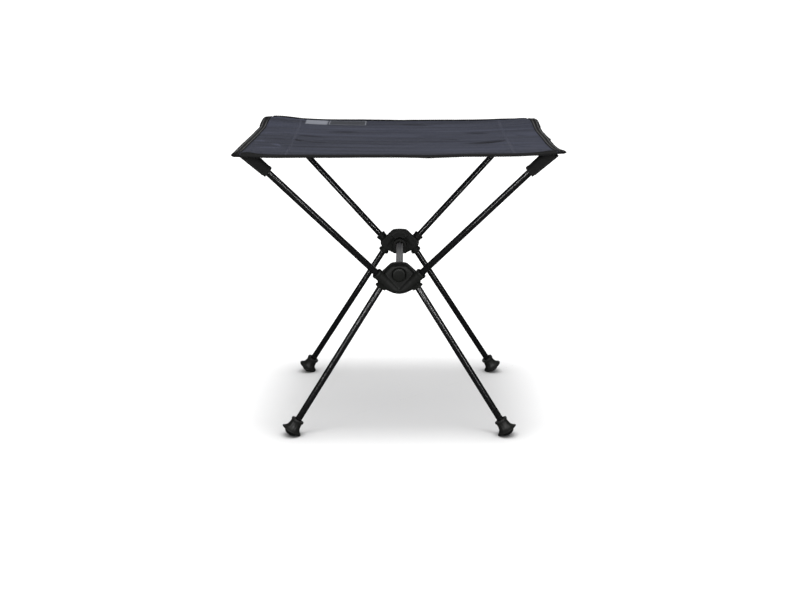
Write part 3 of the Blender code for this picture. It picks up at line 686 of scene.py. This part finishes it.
def cloth_lines():
    """Cloth grid, with closer lines at the seams."""
    base = list(steps_between(-FABRIC_HALF, FABRIC_HALF, STEP))
    for side in (-1, 1):
        base += [side * SEAM_X + d * MM for d in np.arange(-10.0, 10.1, 1.0)]
    base = sorted(base)
    kept = [base[0]]
    for v in base[1:]:
        if v - kept[-1] > 0.55 * MM:
            kept.append(v)
    kept[-1] = FABRIC_HALF
    return np.array(kept)


def two_layer(xs, ys, low, high):
    """A thin closed sheet over a grid, between two height functions."""
    gx, gy = np.meshgrid(xs, ys)
    verts = []
    for z in (low(gx, gy), high(gx, gy)):
        verts += list(zip(gx.ravel(), gy.ravel(), np.asarray(z).ravel()))
    nx, ny = len(xs), len(ys)
    layer = nx * ny
    faces = []
    for j in range(ny - 1):
        for i in range(nx - 1):
            a = j * nx + i
            faces.append((a, a + nx, a + nx + 1, a + 1))
            faces.append((a + layer, a + 1 + layer, a + nx + 1 + layer, a + nx + layer))
    rim = ([i for i in range(nx)] + [j * nx + nx - 1 for j in range(1, ny)]
           + [(ny - 1) * nx + i for i in range(nx - 2, -1, -1)] + [j * nx for j in range(ny - 2, 0, -1)])
    for a, b in zip(rim, rim[1:] + rim[:1]):
        faces.append((a, b, b + layer, a + layer))
    return verts, faces


cloth = piece("top_cloth", *two_layer(cloth_lines(), steps_between(-FABRIC_HALF, FABRIC_HALF, STEP),
                                      lambda x, y: cloth_z(x, y) - CLOTH_T / 2,
                                      lambda x, y: cloth_z(x, y) + CLOTH_T / 2),
              "fabric", "top", "top_fabric", "top_fabric", 60.0)
at_points = np.array([tuple(v.co) for v in cloth.data.vertices])
# Painted shade in the creases, and a painted highlight in a ragged line along each seam, stored for the cloth's
# material.
painted_seam_highlight = np.minimum(np.abs(at_points[:, 0] - seam_line(at_points[:, 1], -1)), np.abs(at_points[:, 0] - seam_line(at_points[:, 1], 1)))
painted_seam_highlight = 0.20 * np.exp(-((painted_seam_highlight / (2.0 * MM)) ** 2)) * (0.7 + 1.5 * ripple(at_points[:, 1], 77, 6, 2.0, 9.0))
painted_shade_and_light(cloth, creases(at_points[:, 0], at_points[:, 1])[1] - painted_seam_highlight)


# -------------------------------------------------------------- edge tapes
def tape_section(flap, half):
    """Folded tape across: (distance in from the edge, height). The middle of
    it is the fold, and the cloth lies in the slot."""
    slot = 0.45 * MM
    shape = ((1.0, -0.12), (0.965, 0.0), (0.80, 0.03), (0.72, -0.10), (0.64, 0.03), (0.50, 0.05), (0.43, -0.08),
             (0.36, 0.06), (0.24, 0.08))
    pts = [(flap * a, half + b * MM) for a, b in shape]
    pts += [(1.6 * MM, half + 0.03 * MM), (0.7 * MM, half * 0.76), (0.15 * MM, half * 0.36), (0.0, 0.0)]
    under = [(u * BIND_W / flap if u > 2 * MM else u, -v) for u, v in pts[-2::-1]]
    return pts + under + [(BIND_W, -slot), (BIND_W * 0.5, -slot), (3.2 * MM, -slot), (2.7 * MM, -0.2 * MM),
                          (2.7 * MM, 0.2 * MM), (3.2 * MM, slot), (flap * 0.6, slot), (flap, slot)]


def tape_top(x, y):
    """Height of the middle of an edge tape."""
    return lift(x, y) + 0.5 * pucker(x, y)


BUMPS = {-1: ((148, 6, 0.9), (-60, 9, 0.35)), 1: ((134, 7, 0.8), (-19, 7, 1.2), (58, 10, 0.4))}


def edge_tape(name, along_y, side, reach, mat, node, flap, half, waver):
    section = np.array(tape_section(flap, half))
    stations = steps_between(-reach, reach, 2.4 * MM)
    seed = 31 + 2 * side + (7 if along_y else 0)
    sway = ripple(stations, seed, 7, 2.0, 14.0)[:, None]
    tilt = ripple(stations, seed + 100, 6, 3.0, 16.0)[:, None]
    inward, up = section[None, :, 0], section[None, :, 1]
    v = np.repeat(stations[:, None], len(section), axis=1)
    corner = np.clip(np.abs(v) - (TOP_HALF - 8 * MM), 0.0, None) if along_y else 0.0 * v
    pull = 0.6 * (8 * MM - np.sqrt(np.clip((8 * MM) ** 2 - corner**2, 0.0, None)))
    outer = np.clip(1.0 - inward / BIND_W, 0.0, 1.0)
    out = waver * sway - 0.25 * MM
    if along_y:
        for at, wide, amount in BUMPS[side]:
            out = out + amount * MM * np.exp(-(((stations[:, None] / MM - at) / wide) ** 2))
    shift = np.minimum(out * outer - pull * outer, 0.9 * MM)
    u = side * (TOP_HALF - inward + shift)
    x, y = (u, v) if along_y else (v, u)
    z = tape_top(x, y) + up + waver * tilt * outer + (0.0 if along_y or side > 0 else 0.4 * MM)
    points = np.stack([x, y, z], axis=-1).reshape(-1, 3)
    faces = []
    n = len(section)
    for k in range(len(stations) - 1):
        for i in range(n):
            j = (i + 1) % n
            faces.append((k * n + i, k * n + j, (k + 1) * n + j, (k + 1) * n + i))
    faces.append(tuple(range(n)))
    faces.append(tuple(range((len(stations) - 1) * n, len(stations) * n)))
    obj = piece(name, [tuple(p) for p in points.tolist()], faces, mat, "top", node, "binding", 45.0)
    # Painted shade on the side tapes: darker towards their ends at the corners.
    from_end = np.where(points[:, 1] > 0, TOP_HALF - 45 * MM - points[:, 1], TOP_HALF - 14 * MM + points[:, 1])
    edge = np.exp(-np.clip(from_end, 0, None) / (24 * MM)) if along_y else np.zeros(len(points))
    painted_shade_and_light(obj, 1.5 * edge)
    return obj


tapes = [
    edge_tape("tape_left", True, -1, TOP_HALF - 0.2 * MM, "bind_y", "binding_left", 12.0 * MM, 1.2 * MM, 0.5 * MM),
    edge_tape("tape_right", True, 1, TOP_HALF - 0.2 * MM, "bind_y", "binding_right", 12.0 * MM, 1.2 * MM, 0.5 * MM),
    edge_tape("tape_front", False, -1, TOP_HALF - BIND_W - 0.15 * MM, "bind_x", "binding_front", 9.0 * MM, 1.9 * MM, 0.22 * MM),
    edge_tape("tape_back", False, 1, TOP_HALF - BIND_W - 0.15 * MM, "bind_x", "binding_back", 8.5 * MM, 1.6 * MM, 0.22 * MM),
]


# --------------------------------------------------------------- stitching
def stitch_row(points, ups, length, gap, radius, verts, faces, sides=6):
    """Adds stitches along a line of points: short threads that rise out of
    the cloth and dip back into it."""
    points = [Vector(p) for p in points]
    run, total = [0.0], 0.0
    for a, b in zip(points, points[1:]):
        total += (b - a).length
        run.append(total)
    at = gap / 2

    def spot(d):
        k = int(np.clip(np.searchsorted(run, d) - 1, 0, len(points) - 2))
        f = (d - run[k]) / max(run[k + 1] - run[k], 1e-9)
        return points[k].lerp(points[k + 1], f), (points[k + 1] - points[k]).normalized(), Vector(ups[k]).normalized()

    while at + length < total:
        rings = []
        for s in (0.0, 0.18, 0.5, 0.82, 1.0):
            centre, way, up = spot(at + length * s)
            side = way.cross(up).normalized()
            rise = radius * (0.75 * math.sin(math.pi * s) ** 0.5 - 0.55 if 0 < s < 1 else -1.1)
            thick = radius * (1.0 if 0.1 < s < 0.9 else 0.55)
            centre = centre + up * rise
            ring = []
            for k in range(sides):
                a = 2 * math.pi * k / sides
                ring.append(len(verts))
                verts.append(centre + side * (thick * math.cos(a)) + up * (thick * math.sin(a)))
            rings.append(ring)
        for a, b in zip(rings, rings[1:]):
            for k in range(sides):
                j = (k + 1) % sides
                faces.append((a[k], a[j], b[j], b[k]))
        faces.append(tuple(rings[0]))
        faces.append(tuple(rings[-1]))
        at += length + gap


def line(a, b, step=3 * MM):
    count = max(2, int((Vector(b) - Vector(a)).length / step))
    return [Vector(a).lerp(Vector(b), k / count) for k in range(count + 1)]


UP = (0.0, 0.0, 1.0)
verts, faces = [], []
for side in (-1, 1):
    for inset, along_y, half in ((2.4 * MM, True, 1.3 * MM), (10.4 * MM, True, 1.3 * MM),
                                 (2.2 * MM, False, 1.95 * MM), (7.0 * MM, False, 1.95 * MM)):
        for face in (1, -1):
            u = side * (TOP_HALF - inset)
            reach = TOP_HALF - (5 * MM if along_y else BIND_W + 1.0 * MM)
            v = steps_between(-reach, reach, 3 * MM)
            x, y = (np.full_like(v, u), v) if along_y else (v, np.full_like(v, u))
            pts = list(zip(x, y, tape_top(x, y) + face * half))
            stitch_row(pts, [(0, 0, face)] * len(pts), 2.5 * MM, 1.0 * MM, 0.27 * MM, verts, faces)
edge_thread = piece("tape_stitching", verts, faces, "thread", "top", None, "binding", 60.0)

verts, faces = [], []
for side in (-1, 1):
    for off in (-1.1 * MM, 1.1 * MM):
        reach = TOP_HALF - BIND_W - 0.5 * MM
        y = steps_between(-reach, reach, 3 * MM)
        x = seam_line(y, side) + off
        pts = list(zip(x, y, cloth_z(x, y) + CLOTH_T / 2 + 0.12 * MM))
        stitch_row(pts, [UP] * len(pts), 2.6 * MM, 1.1 * MM, 0.30 * MM, verts, faces)
seam_thread = piece("seam_stitching", verts, faces, "thread_blue", "top", None, "top_fabric", 60.0)

# ------------------------------------------------------------- seam tapes
for word, side in (("left", -1), ("right", 1)):
    reach = TOP_HALF - BIND_W - 0.6 * MM
    ys = steps_between(-reach, reach, 4 * MM)
    verts, faces = two_layer(np.array([-5.0, -4.6, -2.5, 0.0, 2.5, 4.6, 5.0]) * MM, ys, lambda x, y: 0 * x - 1, lambda x, y: 0 * x + 1)
    at_points = np.array(verts)
    x, y = at_points[:, 0] + seam_line(at_points[:, 1], side), at_points[:, 1]
    z = cloth_z(x, y) - CLOTH_T / 2 - np.where(at_points[:, 2] < 0, 0.62, 0.04) * MM
    piece("seam_band_" + word, list(zip(x, y, z)), faces, "tape", "top", "seam_tape_" + word, "seam_tape", 60.0)

# ------------------------------------------------------------------ labels
LABEL_Y = (177.0 * MM, 223.4 * MM)
for name, span, mat, slot in (("label_tab", (-163.0 * MM, -124.5 * MM), "label", "label"),
                              ("label_frame", (-123.5 * MM, -57.0 * MM), "label_dark", "label_frame")):
    piece(name + "_cloth", *two_layer(
        steps_between(*span, 2 * MM), steps_between(*LABEL_Y, 2 * MM),
        lambda x, y: cloth_z(x, y) + CLOTH_T / 2 + 0.03 * MM,
        lambda x, y: cloth_z(x, y) + CLOTH_T / 2 + 0.42 * MM), mat, "top", name, slot, 60.0)

verts, faces = [], []
lx, ly = (-122.0 * MM, -58.5 * MM), (178.5 * MM, 221.9 * MM)
for (x0, x1), (y0, y1) in (((lx[0], lx[1]), (ly[0], ly[0] + 1.3 * MM)), ((lx[0], lx[1]), (ly[1] - 1.3 * MM, ly[1])),
                           ((lx[0], lx[0] + 1.3 * MM), (ly[0] + 1.3 * MM, ly[1] - 1.3 * MM)),
                           ((lx[1] - 1.3 * MM, lx[1]), (ly[0] + 1.3 * MM, ly[1] - 1.3 * MM))):
    v, f = two_layer(steps_between(x0, x1, 2 * MM), steps_between(y0, y1, 2 * MM),
                     lambda x, y: cloth_z(x, y) + CLOTH_T / 2 + 0.40 * MM,
                     lambda x, y: cloth_z(x, y) + CLOTH_T / 2 + 0.56 * MM)
    faces += [tuple(i + len(verts) for i in face) for face in f]
    verts += v
label_border = piece("label_border", verts, faces, "label", "top", None, "label_frame", 60.0)

verts, faces = [], []
for x0, x1 in ((-163.0 * MM, -124.5 * MM), (-123.5 * MM, -57.0 * MM)):
    x0, x1 = x0 + 0.8 * MM, x1 - 0.8 * MM
    y0, y1 = LABEL_Y[0] + 0.8 * MM, LABEL_Y[1] - 0.8 * MM
    ring = line((x0, y0, 0), (x1, y0, 0))[:-1] + line((x1, y0, 0), (x1, y1, 0))[:-1] + line((x1, y1, 0), (x0, y1, 0))[:-1] + line((x0, y1, 0), (x0, y0, 0))
    pts = [(p.x, p.y, float(cloth_z(p.x, p.y)) + CLOTH_T / 2 + 0.48 * MM) for p in ring]
    stitch_row(pts, [UP] * len(pts), 1.9 * MM, 0.8 * MM, 0.2 * MM, verts, faces)
label_thread = piece("label_stitching", verts, faces, "thread_blue", "top", None, "label", 60.0)

# ----------------------------------------------------------------- pockets
for tag in SIDES:
    sx = -1 if tag[1] == "l" else 1
    sy = -1 if tag[0] == "f" else 1
    upper_at = Vector((sx * HUB_X, sy * UPPER_Y, CROSS_Z))
    upper_way = Vector((sx * UPPER_DIR.x, -sy * UPPER_DIR.y, UPPER_DIR.z))
    raised = (Vector((0, 0, 1)) - upper_way * upper_way.z).normalized()
    across = upper_way.cross(raised)
    outer_r = POCKET_R + POCKET_T
    inner_arc = [(POCKET_R * math.cos(math.pi * k / 20), POCKET_R * math.sin(math.pi * k / 20)) for k in range(21)]
    outer_arc = [(outer_r * math.cos(math.pi * k / 20), outer_r * math.sin(math.pi * k / 20)) for k in range(21)]
    lip = POCKET_LEG - 0.35 * MM
    shape = (
        outer_arc
        + [(-outer_r, -lip * 0.5), (-outer_r, -lip), (-outer_r + 0.35 * MM, -POCKET_LEG), (-POCKET_R - 0.35 * MM, -POCKET_LEG),
           (-POCKET_R, -lip), (-POCKET_R, -lip * 0.5)]
        + inner_arc[::-1]
        + [(POCKET_R, -lip * 0.5), (POCKET_R, -lip), (POCKET_R + 0.35 * MM, -POCKET_LEG), (outer_r - 0.35 * MM, -POCKET_LEG),
           (outer_r, -lip), (outer_r, -lip * 0.5)]
    )
    stations = list(steps_between(POCKET_MOUTH, POCKET_END + POCKET_T, 1.6 * MM))
    verts, faces = [], []

    def on_pocket(along, u, v):
        """A point of the pocket, kept under the cloth."""
        p = upper_at + upper_way * along + across * u + raised * v
        edge = max(abs(p.x), abs(p.y)) > TOP_HALF - BIND_W - 0.7 * MM
        roof = float(lift(p.x, p.y)) - (1.3 * MM if edge else 0.75 * MM) - 0.2 * MM
        if p.z > roof:
            p.z = roof - (p.z - roof) * 0.02
        return p

    def drop(along):
        """How far the cloth legs of the sleeve hang past the moulded pocket."""
        return (2.7 + 2.9 * max(0.0, min(1.0, (along - POCKET_MOUTH) / (45 * MM)))) * MM

    for along in stations:
        d = (along - POCKET_MOUTH) / MM
        deep = 1.0 + drop(along) / POCKET_LEG
        grow = 0.55 * MM if d < 3.8 else 0.0
        slack = 0.25 * MM * math.sin(d * 0.55 + sx) * (1 if d > 5 else 0)
        for u, v in shape:
            r = math.hypot(u, v)
            is_outer = r > POCKET_R + 0.6 * POCKET_T or abs(u) > POCKET_R + 0.6 * POCKET_T
            k = (r + grow + slack * (u / outer_r)) / r if is_outer else 1.0
            verts.append(on_pocket(along, u * k, v * k if v > 0 else v * deep))
    n = len(shape)
    for k in range(len(stations) - 1):
        for i in range(n):
            j = (i + 1) % n
            faces.append((k * n + i, k * n + j, (k + 1) * n + j, (k + 1) * n + i))
    faces.append(tuple(range(n)))
    faces.append(tuple(range((len(stations) - 1) * n, len(stations) * n)))
    # End wall, which the pole tip pushes against.
    start = len(verts)
    wall = outer_arc + [(-outer_r + 0.2 * MM, -POCKET_LEG), (outer_r - 0.2 * MM, -POCKET_LEG)]
    for along in (POCKET_END, POCKET_END + POCKET_T * 0.98):
        for u, v in wall:
            verts.append(on_pocket(along, u * 0.995, v * (0.995 if v > 0 else 0.995 + drop(along) / POCKET_LEG)))
    m = len(wall)
    faces.append(tuple(start + i for i in range(m)))
    faces.append(tuple(start + m + i for i in range(m)))
    for i in range(m):
        j = (i + 1) % m
        faces.append((start + i, start + j, start + m + j, start + m + i))
    piece("sleeve_" + tag, verts, faces, "pocket", "top", "pocket_" + tag, "pocket", 50.0)

    # Stitching round the mouth and down both sides.
    verts, faces = [], []
    for along in (POCKET_MOUTH + 1.2 * MM, POCKET_MOUTH + 3.0 * MM):
        pts, ups = [], []
        for k in range(31):
            a = math.pi * k / 30
            r = outer_r + 0.62 * MM
            pts.append(upper_at + upper_way * along + (across * math.cos(a) + raised * math.sin(a)) * r)
            ups.append(across * math.cos(a) + raised * math.sin(a))
        stitch_row(pts, ups, 1.9 * MM, 0.8 * MM, 0.22 * MM, verts, faces)
    for side in (-1, 1):
        pts, ups = [], []
        for along in steps_between(POCKET_MOUTH + 5 * MM, POCKET_END, 2 * MM):
            pts.append(upper_at + upper_way * along + across * (side * (outer_r + 0.12 * MM))
                       - raised * (POCKET_LEG + drop(along) - 1.8 * MM))
            ups.append(across * side)
        stitch_row(pts, ups, 2.0 * MM, 0.9 * MM, 0.22 * MM, verts, faces)
    piece("sleeve_stitching_" + tag, verts, faces, "thread", "top", None, "pocket", 60.0)

# ------------------------------------------------------------------- stage
t = Tree("studio_floor", (0.86, 0.86, 0.86), 0.85, 0.0, 0.2)
pale = t.mix(t.spread(t.noise(3.0, 4.0), 0.3, 0.7, 0.0, 1.0), (0.855, 0.855, 0.855), (0.868, 0.868, 0.868))
# Painted contact shadow: the floor's colour darkens where ambient occlusion finds the feet and legs close by.
near = t.add("ShaderNodeAmbientOcclusion", samples=8)
near.inputs["Distance"].default_value = 0.016
t.colour(t.mix(t.spread(near.outputs["AO"], 0.25, 0.90, 0.0, 1.0), (0.26, 0.26, 0.26), pale))
t.bump(t.noise(420.0, 3.0), 0.00005, 0.1)
bm = bmesh.new()
bmesh.ops.create_grid(bm, x_segments=8, y_segments=8, size=900.0)
mesh = bpy.data.meshes.new("studio_floor")
bm.to_mesh(mesh)
bm.free()
floor = bpy.data.objects.new("studio_floor", mesh)
bpy.context.scene.collection.objects.link(floor)
floor.location.z = -0.00005
floor.visible_glossy = False
floor.data.materials.append(t.mat)

scene = bpy.context.scene
world = bpy.data.worlds.new("studio")
scene.world = world
world.use_nodes = True
world.node_tree.nodes["Background"].inputs["Color"].default_value = (1, 1, 1, 1)
world.node_tree.nodes["Background"].inputs["Strength"].default_value = 0.99
world.cycles_visibility.glossy = False


def sun(name, strength, degrees, way):
    data = bpy.data.lights.new(name, "SUN")
    data.energy = strength
    data.angle = math.radians(degrees)
    obj = bpy.data.objects.new(name, data)
    scene.collection.objects.link(obj)
    obj.rotation_mode = "QUATERNION"
    obj.rotation_quaternion = Vector(way).to_track_quat("-Z", "Y")
    return obj


def softbox(name, power, size, at, to, twist=0.0):
    data = bpy.data.lights.new(name, "AREA")
    data.shape = "RECTANGLE"
    data.size, data.size_y = size
    data.energy = power
    obj = bpy.data.objects.new(name, data)
    scene.collection.objects.link(obj)
    obj.location = at
    obj.rotation_mode = "QUATERNION"
    turned = Matrix.Rotation(math.radians(twist), 3, "Z").to_quaternion()
    obj.rotation_quaternion = (Vector(to) - Vector(at)).to_track_quat("-Z", "Y") @ turned
    return obj


sun("overhead", 2.1, 25.0, (0.0, 0.05, -1.0))
for name, power, x in (("left_box", 3.0, -1.52), ("right_box", 5.5, 1.52)):
    box = softbox(name, power, (1.2, 1.0), (x, -1.42, 1.2), (0, 0, 0.25))
    box.visible_glossy = False
# Narrow strips and cards that are there for their reflections only.
for name, power, size, at, to, twist in (
    ("left_strip", 9.0, (0.06, 1.2), (-0.95, -1.55, 0.62), (-0.1, -0.15, 0.15), 0.0),
    ("right_strip", 8.0, (0.06, 1.2), (1.05, -1.50, 0.66), (0.1, -0.15, 0.15), 0.0),
    ("left_high_strip", 15.0, (0.04, 1.0), (-0.35, -1.92, 1.10), (-0.15, -0.20, 0.12), -32.0),
    ("right_high_strip", 15.0, (0.04, 1.0), (0.35, -1.92, 1.10), (0.15, -0.20, 0.12), 32.0),
    ("front_card", 15.0, (1.1, 0.8), (0.90, -1.25, 1.95), (0, -0.1, 0.25), 0.0),
    ("back_card", 6.0, (3.4, 0.9), (0.25, 2.6, 0.85), (0, 0, 0.35), 0.0),
):
    card = softbox(name, power, size, at, to, twist)
    card.visible_diffuse = False
    card.visible_camera = False

scene.view_settings.view_transform = "Standard"
scene.view_settings.look = "None"
scene.view_settings.exposure = 0.0
scene.view_settings.gamma = 1.0

# ------------------------------------------------------------------ camera
PITCH, YAW, ROLL = math.radians(13.501), math.radians(0.226), math.radians(0.078)
turn = Matrix.Rotation(YAW, 3, "Z") @ Matrix.Rotation(-PITCH, 3, "X") @ Matrix.Rotation(ROLL, 3, "Y")
right, ahead, up = turn.col[0], turn.col[1], turn.col[2]
camera_data = bpy.data.cameras.new("camera")
camera_data.sensor_fit = "HORIZONTAL"
camera_data.sensor_width = 36.0
camera_data.lens = 1286.1 * 36.0 / 800.0
camera_data.clip_end = 3000.0
camera = bpy.data.objects.new("camera", camera_data)
scene.collection.objects.link(camera)
camera.matrix_world = Matrix((
    (right.x, up.x, -ahead.x, 0.0088),
    (right.y, up.y, -ahead.y, -2.0413),
    (right.z, up.z, -ahead.z, 0.6616),
    (0, 0, 0, 1),
))
scene.camera = camera
